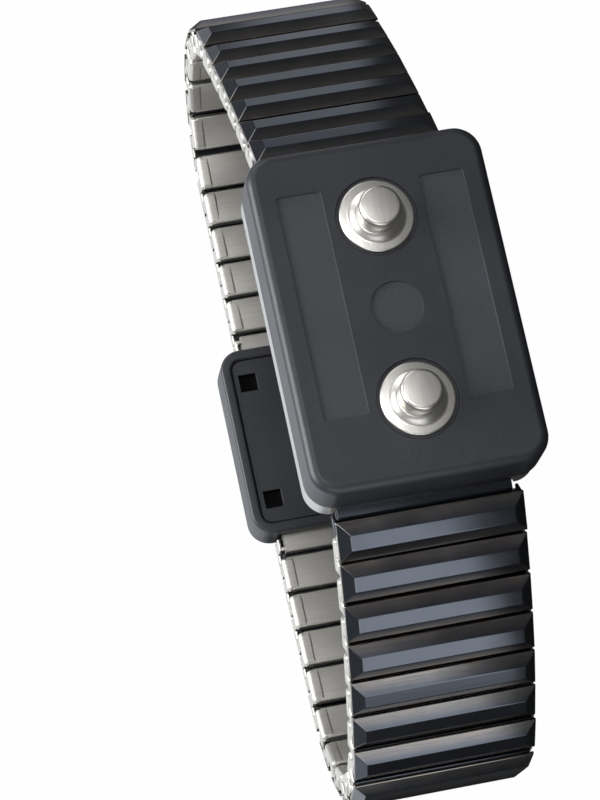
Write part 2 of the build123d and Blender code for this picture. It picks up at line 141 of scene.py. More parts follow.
class HousingSizes(bpy.types.PropertyGroup):
    """Sizes of the black cover, its recesses, and the steel case back."""
    wall: length("Cover wall", "Wall of the black cover", 0.0012)
    corner: length("Corner", "Corner radius seen from the front", 0.0026)
    edge: length("Edge", "Rounding of the front edge", 0.0009)
    crease: length("Crease", "Rounding of the small edges of the recesses", 0.00009)
    panel_length: length("Panel length", "Recessed label panels, left blank", 0.022)
    panel_width: length("Panel width", "Width of a label panel", 0.0043)
    panel_offset: length("Panel offset", "Centre of a panel from the middle of the face", 0.00685)
    panel_shift: length("Panel shift", "Panels towards the +X end", 0.0013)
    panel_depth: length("Panel depth", "Depth of the panels and of the round recess", 0.0002)
    disc_radius: length("Disc radius", "Round recess between the studs", 0.0025)
    seat_radius: length("Seat radius", "Seat of a stud flange", 0.00385)
    seat_depth: length("Seat depth", "Depth of a flange seat", 0.00025)
    hole_radius: length("Hole radius", "Hole for the shank of a stud", 0.00105)
    case_wall: length("Case wall", "Sheet of the steel case back", 0.0005)
    case_edge: length("Case edge", "Rounding of the case back towards the skin", 0.0005)
    notch_gap: length("Notch gap", "Clearance round the band in the end notches", 0.0003)


class StudSizes(bpy.types.PropertyGroup):
    """Sizes of the snap studs and their dished flanges."""
    spacing: length("Spacing", "Between the two studs", 0.018)
    head: length("Head radius", "Radius of the stud head", 0.002)
    neck: length("Neck radius", "Radius of the neck under the head", 0.0016)
    shank: length("Shank radius", "Radius of the shank through the cover", 0.00095)
    shank_length: length("Shank length", "Shank below the face of the cover", 0.0022)
    height: length("Height", "Stud above the face of the cover", 0.003)
    head_height: length("Head height", "Height of the head at full diameter", 0.0015)
    ease: length("Ease", "Rounding of the rim of the head", 0.00035)
    flange: length("Flange radius", "Radius of the dished flange", 0.00355)
    flange_sheet: length("Flange sheet", "Thickness of the flange at its rim", 0.00035)
    dish: length("Dish", "Rise of the flange towards the neck", 0.00045)


class BlockSizes(bpy.types.PropertyGroup):
    """Sizes of the insulator block on the far side of the wrist."""
    wall: length("Wall", "Wall of the block", 0.0011)
    corner: length("Corner", "Corner radius seen from the wrist", 0.0022)
    edge: length("Edge", "Rounding of the outer edge", 0.0008)
    rim: length("Rim", "Rounding of the rim towards the wrist", 0.00035)
    window: length("Window", "Side of a square inspection window", 0.0018)
    # The windows are shallow; their floors are painted near-black as painted shade.
    window_depth: length("Window depth", "Down to the shadow-painted floor in a window", 0.0008)
    window_inset: length("Window inset", "Window centre from the side of the block", 0.0026)
    window_spacing: length("Window spacing", "Between the two windows", 0.0126)


class FinishColours(bpy.types.PropertyGroup):
    """Base colours of the finishes."""
    plastic: colour("Black plastic", "Satin moulded cover and block", (0.024, 0.026, 0.032))
    panel: colour("Label panel", "Grained floor of the recesses", (0.043, 0.048, 0.055))
    enamel: colour("Black enamel", "Dark coating of the link covers", (0.105, 0.116, 0.136))
    # Painted highlight: a brownish grey along the lips of the link covers.
    lip_highlight: colour("Painted lip highlight", "Rubbed edges of the link covers", (0.30, 0.27, 0.24))
    link_steel: colour("Link steel", "Tubes, springs and staples", (0.74, 0.72, 0.68))
    case_steel: colour("Case steel", "Case back", (0.62, 0.62, 0.61))
    nickel: colour("Nickel", "Snap studs and flanges", (0.76, 0.74, 0.70))
    brass: colour("Brass", "Terminal strips", (0.75, 0.58, 0.28))
    liner: colour("Liner", "Insulating liner and divider", (0.50, 0.50, 0.47))
    floor: colour("Floor", "Plain pale floor", (0.92, 0.92, 0.92))


class StrapSettings(bpy.types.PropertyGroup):
    """All settings of the wrist strap."""
    links: PointerProperty(type=LinkSizes)
    housing: PointerProperty(type=HousingSizes)
    studs: PointerProperty(type=StudSizes)
    block: PointerProperty(type=BlockSizes)
    colours: PointerProperty(type=FinishColours)


# ---- mesh helpers ----
def rounded_ring(size_x, size_z, corner, y, centre, steps=10):
    """Points of a rounded rectangle in a plane of constant y."""
    points = []
    for index in range(4):
        sign_x = 1 if index in (0, 3) else -1
        sign_z = 1 if index in (0, 1) else -1
        for step in range(steps + 1):
            angle = math.pi / 2 * (index + step / steps)
            x = sign_x * (size_x / 2 - corner) + corner * math.cos(angle)
            z = sign_z * (size_z / 2 - corner) + corner * math.sin(angle)
            points.append(Vector((centre.x + x, y, centre.z + z)))
    return points


def add_stack(bm, rings):
    """Closed solid through rings of the same number of points."""
    levels = [[bm.verts.new(point) for point in ring] for ring in rings]
    for low, high in zip(levels, levels[1:]):
        for i in range(len(low)):
            j = (i + 1) % len(low)
            bm.faces.new((low[i], low[j], high[j], high[i]))
    bm.faces.new(levels[0])
    bm.faces.new(levels[-1])


def add_box(bm, low, high):
    """Box between two corners."""
    corners = [[Vector((x, y, z)) for x, y in
                ((low[0], low[1]), (high[0], low[1]), (high[0], high[1]), (low[0], high[1]))]
               for z in (low[2], high[2])]
    add_stack(bm, corners)


def add_lathe(bm, profile, steps):
    """Solid of revolution about Z from (radius, height) points that start and end on the axis."""
    bottom = bm.verts.new((0, 0, profile[0][1]))
    top = bm.verts.new((0, 0, profile[-1][1]))
    rings = []
    angles = [2 * math.pi * i / steps for i in range(steps)]
    for radius, height in profile[1:-1]:
        rings.append([bm.verts.new((radius * math.cos(a), radius * math.sin(a), height))
                      for a in angles])
    for i in range(steps):
        j = (i + 1) % steps
        bm.faces.new((bottom, rings[0][i], rings[0][j]))
        bm.faces.new((top, rings[-1][i], rings[-1][j]))
        for low, high in zip(rings, rings[1:]):
            bm.faces.new((low[i], low[j], high[j], high[i]))


def add_ring_lathe(bm, profile, steps):
    """Ring of revolution about Z from a closed (radius, height) outline that stays off the axis."""
    rings = []
    for i in range(steps):
        angle = 2 * math.pi * i / steps
        rings.append([bm.verts.new((r * math.cos(angle), r * math.sin(angle), h)) for r, h in profile])
    for i in range(steps):
        here, after = rings[i], rings[(i + 1) % steps]
        for k in range(len(profile)):
            m = (k + 1) % len(profile)
            bm.faces.new((here[k], here[m], after[m], after[k]))


def mesh_from(bm, name, *materials):
    """Mesh with outward faces and its finishes."""
    bmesh.ops.recalc_face_normals(bm, faces=bm.faces)
    mesh = bpy.data.meshes.new(name)
    bm.to_mesh(mesh)
    bm.free()
    for material in materials:
        mesh.materials.append(material)
    return mesh


def new_object(name, mesh):
    obj = bpy.data.objects.new(name, mesh)
    bpy.context.scene.collection.objects.link(obj)
    return obj


def settle(obj):
    """Turns an object with live modifiers into a plain mesh."""
    graph = bpy.context.evaluated_depsgraph_get()
    mesh = bpy.data.meshes.new_from_object(obj.evaluated_get(graph))
    obj.modifiers.clear()
    obj.data = mesh
    return obj


def carve(obj, cutter_mesh):
    """Cuts a closed mesh out of an object and keeps the cutter's finish on the new faces."""
    cutter = new_object("cutter", cutter_mesh)
    cut = obj.modifiers.new("carve", "BOOLEAN")
    cut.operation = "DIFFERENCE"
    cut.solver = "EXACT"
    cut.material_mode = "TRANSFER"
    cut.object = cutter
    settle(obj)
    bpy.data.objects.remove(cutter)


def weigh_normals(mesh):
    """Smooth shading in which the largest face at a corner sets its normal, so flats stay flat."""
    mesh.shade_smooth()
    around = [[] for _ in mesh.vertices]
    for face in mesh.polygons:
        for vertex in face.vertices:
            around[vertex].append(face)
    least = math.cos(FLAT_ANGLE)
    normals = []
    for face in mesh.polygons:
        for vertex in face.vertices:
            total = Vector((0, 0, 0))
            for other in around[vertex]:
                if other.normal.dot(face.normal) > least:
                    total += other.normal * other.area ** 2
            normals.append(total.normalized())
    mesh.normals_split_custom_set(normals)


def ease_edges(obj, width, segments=2, angle=50):
    """Rounds the sharp edges, then weights the normals so that flats stay flat."""
    bevel = obj.modifiers.new("ease", "BEVEL")
    bevel.width = width
    bevel.segments = segments
    bevel.limit_method = "ANGLE"
    bevel.angle_limit = math.radians(angle)
    bevel.use_clamp_overlap = True
    bevel.miter_outer = "MITER_ARC"
    settle(obj)
    weigh_normals(obj.data)


def eased_mesh(bm, name, material, width, segments=2, angle=50):
    """Mesh of a small part with its sharp edges rounded."""
    obj = new_object(f"{name} template", mesh_from(bm, name, material))
    ease_edges(obj, width, segments, angle)
    mesh = obj.data
    bpy.data.objects.remove(obj)
    return mesh


def smooth(mesh):
    mesh.shade_smooth()
    mesh.set_sharp_from_angle(angle=SMOOTH_ANGLE)


def hand_over(obj, body, slot, *nodes):
    """Rides on a body and stands for its CAD nodes."""
    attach(obj, body)
    if nodes:
        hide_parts(*nodes)


# ---- effects that several finishes share ----
def add_node(tree, kind, inputs=None, **settings):
    """Node with its settings, and with its inputs set or linked."""
    node = tree.nodes.new(kind)
    for name, value in settings.items():
        setattr(node, name, value)
    for key, value in (inputs or {}).items():
        if isinstance(value, bpy.types.NodeSocket):
            tree.links.new(value, node.inputs[key])
        else:
            node.inputs[key].default_value = value
    return node


def effect_group(name, inputs, outputs):
    """Empty shader group with its sockets, and its input and output nodes."""
    tree = bpy.data.node_groups.new(name, "ShaderNodeTree")
    for label, kind, default in inputs:
        socket = tree.interface.new_socket(label, in_out="INPUT", socket_type=kind)
        socket.default_value = default
    for label in outputs:
        tree.interface.new_socket(label, in_out="OUTPUT", socket_type="NodeSocketFloat")
    return tree, tree.nodes.new("NodeGroupInput").outputs, tree.nodes.new("NodeGroupOutput").inputs


def grain_group():
    """Fine moulded or sanded grain: a height, and a soft mask of handling marks."""
    tree, source, sink = effect_group(
        "Grain and smudges",
        [("Grain Scale", "NodeSocketFloat", 4000.0), ("Smudge Scale", "NodeSocketFloat", 120.0)],
        ["Height", "Smudge"])
    place = add_node(tree, "ShaderNodeTexCoord").outputs["Object"]
    grain = add_node(tree, "ShaderNodeTexNoise", {
        "Vector": place, "Scale": source["Grain Scale"], "Detail": 4.0, "Roughness": 0.65})
    smudge = add_node(tree, "ShaderNodeTexNoise", {
        "Vector": place, "Scale": source["Smudge Scale"], "Detail": 3.0})
    ramp = add_node(tree, "ShaderNodeMapRange", {
        "Value": smudge.outputs["Fac"], "From Min": 0.2, "From Max": 0.8})
    tree.links.new(grain.outputs["Fac"], sink["Height"])
    tree.links.new(ramp.outputs["Result"], sink["Smudge"])
    return tree


def brush_group():
    """Brushed lines: noise drawn out along one direction."""
    tree, source, sink = effect_group(
        "Brushed lines",
        [("Stretch", "NodeSocketVector", (1.0, 1.0, 1.0)), ("Scale", "NodeSocketFloat", 9000.0)],
        ["Height", "Line"])
    place = add_node(tree, "ShaderNodeTexCoord").outputs["Object"]
    drawn = add_node(tree, "ShaderNodeVectorMath", {0: place, 1: source["Stretch"]},
                     operation="MULTIPLY")
    lines = add_node(tree, "ShaderNodeTexNoise", {
        "Vector": drawn.outputs["Vector"], "Scale": source["Scale"], "Detail": 3.0, "Roughness": 0.6})
    ramp = add_node(tree, "ShaderNodeMapRange", {
        "Value": lines.outputs["Fac"], "From Min": 0.3, "From Max": 0.7})
    tree.links.new(lines.outputs["Fac"], sink["Height"])
    tree.links.new(ramp.outputs["Result"], sink["Line"])
    return tree


def add_effect(tree, name, maker, **inputs):
    """Group node of a shared effect, whose tree is made once."""
    node = tree.nodes.new("ShaderNodeGroup")
    node.node_tree = bpy.data.node_groups.get(name) or maker()
    for key, value in inputs.items():
        node.inputs[key.replace("_", " ").title()].default_value = value
    return node.outputs


def add_grain(tree, grain_scale, smudge_scale):
    return add_effect(tree, "Grain and smudges", grain_group, grain_scale=grain_scale,
                      smudge_scale=smudge_scale)


def add_brush(tree, stretch, scale):
    return add_effect(tree, "Brushed lines", brush_group, stretch=stretch, scale=scale)


def add_bump(tree, shader, height, distance):
    bump = add_node(tree, "ShaderNodeBump", {"Strength": 1.0, "Distance": distance, "Height": height})
    tree.links.new(bump.outputs["Normal"], shader.inputs["Normal"])


def add_range(tree, value, low, high):
    """Maps a 0 to 1 mask to a range."""
    node = add_node(tree, "ShaderNodeMapRange", {"Value": value, "To Min": low, "To Max": high})
    return node.outputs["Result"]


def add_tint(tree, mask, first, second):
    """Colour between two colours by a mask; the first may be a socket."""
    if not isinstance(first, bpy.types.NodeSocket):
        first = (*first, 1.0)
    node = add_node(tree, "ShaderNodeMix", {0: mask, 6: first, 7: (*second, 1.0)}, data_type="RGBA")
    return node.outputs[2]


def shaded(base, factor):
    return tuple(min(1.0, channel * factor) for channel in base)


def start_finish(name):
    material = bpy.data.materials.new(name)
    material.use_nodes = True
    tree = material.node_tree
    return material, tree, tree.nodes["Principled BSDF"]


# ---- finishes ----
def satin_plastic(name, base, rough_low, rough_high, grain_depth, specular):
    material, tree, shader = start_finish(name)
    grain = add_grain(tree, 5200.0, 160.0)
    tint = add_tint(tree, grain["Smudge"], shaded(base, 0.85), shaded(base, 1.15))
    tree.links.new(tint, shader.inputs["Base Color"])
    tree.links.new(add_range(tree, grain["Smudge"], rough_low, rough_high), shader.inputs["Roughness"])
    shader.inputs["Specular IOR Level"].default_value = specular
    add_bump(tree, shader, grain["Height"], grain_depth)
    return material


def link_enamel(base, lip_highlight):
    """Dark mirror-like coating, with a painted brownish-grey highlight along the lips of the covers."""
    material, tree, shader = start_finish("black link enamel")
    grain = add_grain(tree, 2600.0, 420.0)
    brush = add_brush(tree, (1.0, 1.0, 0.05), 5000.0)
    lip = add_node(tree, "ShaderNodeAttribute", attribute_name="lip").outputs["Fac"]
    # Painted highlight along the lips, broken up by the brushed lines.
    highlight_mask = combine(tree, "MULTIPLY", lip, add_range(tree, brush["Line"], 0.45, 1.0))
    tree.links.new(add_tint(tree, highlight_mask, base, lip_highlight), shader.inputs["Base Color"])
    tree.links.new(add_range(tree, grain["Smudge"], 0.14, 0.22), shader.inputs["Roughness"])
    shader.inputs["Metallic"].default_value = 1.0
    add_bump(tree, shader, brush["Height"], 0.000003)
    return material


def brushed_metal(name, base, stretch, rough_low, rough_high, depth):
    """Brushed metal with faint lines and slightly dulled patches."""
    material, tree, shader = start_finish(name)
    grain = add_grain(tree, 3000.0, 260.0)
    brush = add_brush(tree, stretch, 7000.0)
    clean = add_tint(tree, brush["Line"], shaded(base, 0.9), shaded(base, 1.08))
    tint = add_tint(tree, add_range(tree, grain["Smudge"], 0.0, 0.4), clean, shaded(base, 0.86))
    tree.links.new(tint, shader.inputs["Base Color"])
    tree.links.new(add_range(tree, grain["Smudge"], rough_low, rough_high), shader.inputs["Roughness"])
    shader.inputs["Metallic"].default_value = 1.0
    add_bump(tree, shader, brush["Height"], depth)
    return material


# Painted glowing patches on the floor, which the strap mirrors as painted reflections: strength, then
# where each side fades in, along one axis.
PAINTED_GLOW_PATCHES = ((1.6, (("X", -0.052, -0.060), ("Y", 0.002, -0.010), ("Y", -0.16, -0.12))),
         (0.6, (("X", 0.052, 0.064), ("Y", -0.024, -0.012), ("Y", 0.05, 0.03))))
WALL_RISE = (0.1, 0.25)      # heights between which the backdrop turns into a bright wall
# Painted shade: the floor's own surface is darkened, so the strap mirrors it dark.
PAINTED_FLOOR_SHADE = 0.04        # share of the floor's colour that the strap mirrors
CLEAN_SHARE = 0.97           # share of clean white in the floor as the camera sees it
CLEAN_GLOW = 1.02            # strength of that white
PAINTED_GLOW_COLOUR = (0.93, 0.96, 1.0, 1.0)


def add_zone(tree, value, start, end):
    """Mask that rises from 0 to 1 between two values of one object coordinate."""
    node = add_node(tree, "ShaderNodeMapRange", {"Value": value, "From Min": start, "From Max": end},
                    interpolation_type="SMOOTHSTEP")
    return node.outputs["Result"]


def combine(tree, operation, first, second):
    return add_node(tree, "ShaderNodeMath", {0: first, 1: second}, operation=operation).outputs["Value"]


def floor_finish(base):
    """White floor, painted dark for all but camera rays, with a painted glowing patch at each side and a
    glowing wall, so that the strap mirrors painted shade and painted reflections.
    """
    material, tree, shader = start_finish("pale floor")
    # Painted shade: the floor's surface colour is cut to a small share, so the strap mirrors it dark.
    shader.inputs["Base Color"].default_value = (*shaded(base, PAINTED_FLOOR_SHADE), 1.0)
    shader.inputs["Roughness"].default_value = 0.9
    shader.inputs["Specular IOR Level"].default_value = 0.1
    coordinates = add_node(tree, "ShaderNodeTexCoord").outputs["Object"]
    place = add_node(tree, "ShaderNodeSeparateXYZ", {"Vector": coordinates}).outputs
    # Painted light: the wall and the patches glow for all but camera rays, and the strap mirrors them as
    # painted reflections.
    lit = add_zone(tree, place["Z"], *WALL_RISE)
    for strength, sides in PAINTED_GLOW_PATCHES:
        painted_glow = strength
        for axis, start, end in sides:
            painted_glow = combine(tree, "MULTIPLY", add_zone(tree, place[axis], start, end), painted_glow)
        lit = combine(tree, "ADD", lit, painted_glow)
    shader.inputs["Emission Color"].default_value = PAINTED_GLOW_COLOUR
    tree.links.new(lit, shader.inputs["Emission Strength"])
    glow = add_node(tree, "ShaderNodeEmission", {"Color": (1.0, 1.0, 1.0, 1.0), "Strength": CLEAN_GLOW})
    seen = tree.nodes.new("ShaderNodeLightPath").outputs["Is Camera Ray"]
    mix = add_node(tree, "ShaderNodeMixShader", {
        0: combine(tree, "MULTIPLY", seen, CLEAN_SHARE), 1: shader.outputs["BSDF"],
        2: glow.outputs["Emission"]})
    tree.links.new(mix.outputs["Shader"], tree.nodes["Material Output"].inputs["Surface"])
    return material


# Plastics: colour and its shade, lowest and highest roughness, depth of the grain, specular level.
PLASTICS = {
    "black satin plastic": ("plastic", 1.0, 0.34, 0.46, 0.000016, 0.5),
    # Painted shade: near-black floor of the windows in the block.
    "window shade": ("plastic", 0.1, 0.6, 0.7, 0.000004, 0.1),
    "label panel grain": ("panel", 1.0, 0.5, 0.62, 0.00003, 0.5),
    "liner plastic": ("liner", 1.0, 0.45, 0.6, 0.000008, 0.5),
}
# Metals: colour, stretch of the brushed lines, lowest and highest roughness, depth of the lines.
METALS = {
    "link steel": ("link_steel", (1.0, 1.0, 0.06), 0.36, 0.44, 0.000004),
    "case steel": ("case_steel", (0.05, 1.0, 0.05), 0.25, 0.36, 0.000004),
    "stud nickel": ("nickel", (0.08, 1.0, 1.0), 0.3, 0.38, 0.000003),
    "terminal brass": ("brass", (0.06, 1.0, 1.0), 0.25, 0.4, 0.000004),
}


def finish(name):
    """The named finish, made once from the colours of the settings."""
    material = bpy.data.materials.get(name)
    if material:
        return material
    colours = bpy.context.scene.wrist_strap.colours
    if name in PLASTICS:
        tone, shade, *numbers = PLASTICS[name]
        return satin_plastic(name, shaded(getattr(colours, tone), shade), *numbers)
    if name in METALS:
        tone, *numbers = METALS[name]
        return brushed_metal(name, getattr(colours, tone), *numbers)
    if name == "black link enamel":
        return link_enamel(colours.enamel, colours.lip_highlight)
    raise ValueError(f"no finish is named {name}")


# ---- path of the band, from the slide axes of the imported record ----
def pivot_directions(half):
    """Direction of the inner link at each pivot line of a half, as an angle from the housing."""
    joints = {(joint["parent"], joint["child"]): joint for joint in frame["joints"]}
    names = sorted(body for body in frame["bodies"] if body.startswith(f"link_{half}_"))
    chain = ["housing", *names, "block"]
    angles = []
    for pair in zip(chain, chain[1:]):
        if pair in joints:
            x, y, _ = joints[pair]["axis"]
            angles.append(math.atan2(y, SIDES[half] * x) % (2 * math.pi))
    return names, angles


def band_path(half, pitch, end_gap):
    """Pivot points, link angles and pivot angles of a half, and the bodies of its links."""
    names, turned = pivot_directions(half)
    headings = [0.0]
    for angle in turned:
        headings.append(2 * angle - headings[-1])
    if len(headings) == len(names) + 1:
        headings.append(math.pi)
    side = SIDES[half]
    points = [Vector((MIDDLE.x + side * ((cover_high.x - cover_low.x) / 2 + end_gap), SKIN_Y, MIDDLE.z))]
    for heading in headings[1:len(names) + 1]:
        step = Vector((side * math.cos(heading), math.sin(heading), 0)) * pitch
        points.append(points[-1] + step)
    pivots = [(first + second) / 2 for first, second in zip(headings, headings[1:])]
    return names, points, headings, pivots


def link_axes(half, angle):
    """Rotation whose columns run along the band, outwards from the wrist, and across."""
    side = SIDES[half]
    along = Vector((side * math.cos(angle), math.sin(angle), 0))
    outward = Vector((side * math.sin(angle), -math.cos(angle), 0))
    return Matrix((along, outward, along.cross(outward))).transposed()


# ---- parts of one link, drawn with x along the band, y outwards and z across ----
HIGHLIGHT_SHARE = 1.25          # height of the painted highlight along the edge of a cover, against its lip
STAPLE_RISE = 1.3            # rise of the staple template, against the height of a tube


def tube_mesh(name, tube_length, width, sizes, material):
    """Flat tube with rounded long edges, open at both sides of the band."""
    steps = 4
    wall, radius, height = sizes.tube_wall, sizes.tube_round, sizes.tube_height

    def outline(size_x, size_y, corner):
        ring = rounded_ring(size_x, size_y, corner, 0, Vector((0, 0, 0)), steps)
        return [(point.x, point.z + height / 2) for point in ring]

    outer = outline(tube_length, height, radius)
    inner = outline(tube_length - 2 * wall, height - 2 * wall, radius / 3)
    bm = bmesh.new()
    rings = []
    for points, z in ((outer, -width / 2), (outer, width / 2), (inner, width / 2), (inner, -width / 2)):
        rings.append([bm.verts.new((x, y, z)) for x, y in points])
    for here, after in zip(rings, rings[1:] + rings[:1]):
        for i in range(len(here)):
            j = (i + 1) % len(here)
            bm.faces.new((here[i], here[j], after[j], after[i]))
    mesh = mesh_from(bm, name, material)
    smooth(mesh)
    return mesh


def cover_mesh(sizes, material):
    """Black ridged cover: lip, four slopes and a narrow flat, with the painted highlight on its lip
    marked.
    """
    half_length = (sizes.pitch - sizes.cover_gap) / 2
    half_width = sizes.band_width / 2 + sizes.staple_sheet
    rows = ((half_length, half_width, 0.0), (half_length, half_width, sizes.ridge_lip),
            (sizes.ridge_top / 2, half_width - sizes.ridge_hip, sizes.ridge_height))
    bm = bmesh.new()
    rings = []
    for x, z, y in rows:
        rings.append([Vector(point) for point in ((x, y, z), (-x, y, z), (-x, y, -z), (x, y, -z))])
    add_stack(bm, rings)
    mesh = eased_mesh(bm, "link cover", material, sizes.ridge_edge, 3, 15)
    # The lip attribute marks where the enamel gets its painted highlight.
    lip = mesh.attributes.new("lip", "FLOAT", "POINT")
    fade = sizes.ridge_lip * HIGHLIGHT_SHARE
    values = []
    for vertex in mesh.vertices:
        near_edge = abs(abs(vertex.co.x) - half_length) < 2 * sizes.ridge_edge
        values.append(float(near_edge and vertex.co.y < fade))
    lip.data.foreach_set("value", values)
    return mesh


def staple_mesh(sizes, rise, material):
    """U-shaped staple with a rounded plate, its lower leg at the origin."""
    bm = bmesh.new()
    half_leg, half_sheet = sizes.staple_width / 2, sizes.staple_sheet / 2
    overhang = sizes.bridge_width - half_leg
    add_box(bm, (-half_leg, -half_sheet, 0.0), (overhang, rise + half_sheet, sizes.staple_sheet))
    for y in (0.0, rise):
        add_box(bm, (-half_leg, y - half_sheet, -sizes.staple_leg), (half_leg, y + half_sheet, 0.0))
    return eased_mesh(bm, "staple", material, sizes.staple_sheet / 4, 1)


def side_tab_mesh(sizes, material):
    """Tab that folds down from a cover over the side of its outer tube."""
    bm = bmesh.new()
    half_width = sizes.tab_width / 2
    add_box(bm, (-half_width, -sizes.tube_height / 2, 0.0),
            (half_width, sizes.ridge_lip, sizes.staple_sheet))
    return eased_mesh(bm, "side tab", material, sizes.staple_sheet / 4, 1)


def inner_cap_mesh(sizes, material):
    """Rounded cap over the side of an inner tube and the feet of its staples."""
    bm = bmesh.new()
    half_length = sizes.pitch / 2 - sizes.link_gap
    add_box(bm, (-half_length, -sizes.cap_lap, -sizes.cap_reach),
            (half_length, sizes.tube_height, sizes.cap_sheet))
    return eased_mesh(bm, "inner cap", material, sizes.cap_round, 4)


def spring_mesh(name, width, sizes, material):
    """Arched leaf spring inside a tube."""
    reach = width / 2 - sizes.staple_leg - sizes.staple_sheet - sizes.fit_gap
    depth = sizes.pitch - 3 * sizes.link_gap - 2 * sizes.tube_wall - 2 * sizes.fit_gap
    floor = sizes.tube_wall + sizes.fit_gap / 2
    steps = 10
    bm = bmesh.new()
    rings = []
    for step in range(steps + 1):
        share = 2 * step / steps - 1
        y = floor + sizes.spring_rise * (1 - share * share)
        rings.append([Vector((x, h, share * reach)) for x, h in
                      ((-depth / 2, y), (depth / 2, y), (depth / 2, y + sizes.spring_sheet),
                       (-depth / 2, y + sizes.spring_sheet))])
    add_stack(bm, rings)
    mesh = mesh_from(bm, name, material)
    smooth(mesh)
    return mesh


# ---- geometry nodes that lay the parts of one link ----
def pitch_tree():
    """Takes the guide points of one link and sets the picked part on each of them."""
    tree = bpy.data.node_groups.new("Strap pitch", "GeometryNodeTree")
    for name, kind in (("Geometry", "Geometry"), ("Link", "Int"), ("Parts", "Collection"),
                       ("Play", "Float"), ("Seed", "Int"), ("Finish", "Material")):
        tree.interface.new_socket(name, in_out="INPUT", socket_type=f"NodeSocket{kind}")
    tree.interface.new_socket("Geometry", in_out="OUTPUT", socket_type="NodeSocketGeometry")
    source = tree.nodes.new("NodeGroupInput").outputs

    def attribute(name, kind):
        node = add_node(tree, "GeometryNodeInputNamedAttribute", {"Name": name}, data_type=kind)
        return node.outputs["Attribute"]

    link_number = attribute("link", "INT")
    chosen = add_node(tree, "FunctionNodeCompare", {2: link_number, 3: source["Link"]},
                      data_type="INT", operation="EQUAL")
    parts = add_node(tree, "GeometryNodeCollectionInfo", {
        "Collection": source["Parts"], "Separate Children": True, "Reset Children": True})
    least = combine(tree, "MULTIPLY", source["Play"], -1.0)
    lean = add_node(tree, "FunctionNodeRandomValue", {
        2: least, 3: source["Play"], "ID": link_number, "Seed": source["Seed"]}, data_type="FLOAT")
    about = add_node(tree, "ShaderNodeCombineXYZ", {"Z": lean.outputs[1]})
    leaning = add_node(tree, "FunctionNodeEulerToRotation", {0: about.outputs[0]})
    standing = add_node(tree, "FunctionNodeEulerToRotation", {0: attribute("turn", "FLOAT_VECTOR")})
    turned = add_node(tree, "FunctionNodeRotateRotation", {
        "Rotation": standing.outputs[0], "Rotate By": leaning.outputs[0]}, rotation_space="LOCAL")
    lay = add_node(tree, "GeometryNodeInstanceOnPoints", {
        "Points": source["Geometry"], "Selection": chosen.outputs["Result"],
        "Instance": parts.outputs[0], "Pick Instance": True, "Instance Index": attribute("part", "INT"),
        "Rotation": turned.outputs["Rotation"], "Scale": attribute("size", "FLOAT_VECTOR")})
    real = add_node(tree, "GeometryNodeRealizeInstances", {"Geometry": lay.outputs["Instances"]})
    coat = add_node(tree, "GeometryNodeSetMaterial", {
        "Geometry": real.outputs["Geometry"], "Material": source["Finish"]})
    add_node(tree, "NodeGroupOutput", {"Geometry": coat.outputs["Geometry"]})
    return tree


def guide_mesh(name, marks):
    """One point for each part to be laid: its link, which part, its turn and its size."""
    mesh = bpy.data.meshes.new(name)
    mesh.from_pydata([mark["at"] for mark in marks], [], [])
    for key in ("link", "part"):
        numbers = [mark[key] for mark in marks]
        mesh.attributes.new(key, "INT", "POINT").data.foreach_set("value", numbers)
    for key in ("turn", "size"):
        numbers = [number for mark in marks for number in mark[key]]
        mesh.attributes.new(key, "FLOAT_VECTOR", "POINT").data.foreach_set("vector", numbers)
    return mesh


def lay_link(name, tree, guide, number, parts, sizes, material):
    """One link as a plain mesh object."""
    obj = new_object(name, guide.copy())
    modifier = obj.modifiers.new("Strap pitch", "NODES")
    modifier.node_group = tree
    values = {"Link": number, "Parts": parts, "Play": sizes.play, "Seed": sizes.seed, "Finish": material}
    for item in tree.interface.items_tree:
        if item.in_out == "INPUT" and item.name in values:
            modifier[item.identifier] = values[item.name]
    settle(obj)
    if not obj.data.polygons:
        raise RuntimeError(f"{name} came out empty")
    return obj


def part_shelf(name, meshes):
    """Collection of parts that a guide picks from by number."""
    shelf = bpy.data.collections.new(name)
    for number, mesh in enumerate(meshes):
        shelf.objects.link(bpy.data.objects.new(f"{name} {number}", mesh))
    return shelf


def clear_shelf(shelf):
    for obj in list(shelf.objects):
        bpy.data.objects.remove(obj)
    bpy.data.collections.remove(shelf)


OUTER_SPRING, INNER_TUBE, INNER_SPRING, STAPLE, SIDE_TAB, INNER_CAP = range(6)
COVER, OUTER_TUBE = range(2)


def outer_lift(sizes, headings, number):
    """Height of an outer link above its chord, clear of the inner links under it."""
    turns = [headings[number] - headings[number - 1], headings[number + 1] - headings[number], 0.0]
    half_turn = max(turns) / 2
    inner_half = (sizes.pitch - 2 * sizes.link_gap) / 2
    return sizes.tube_height * math.cos(half_turn) + inner_half * math.sin(half_turn) + sizes.row_gap


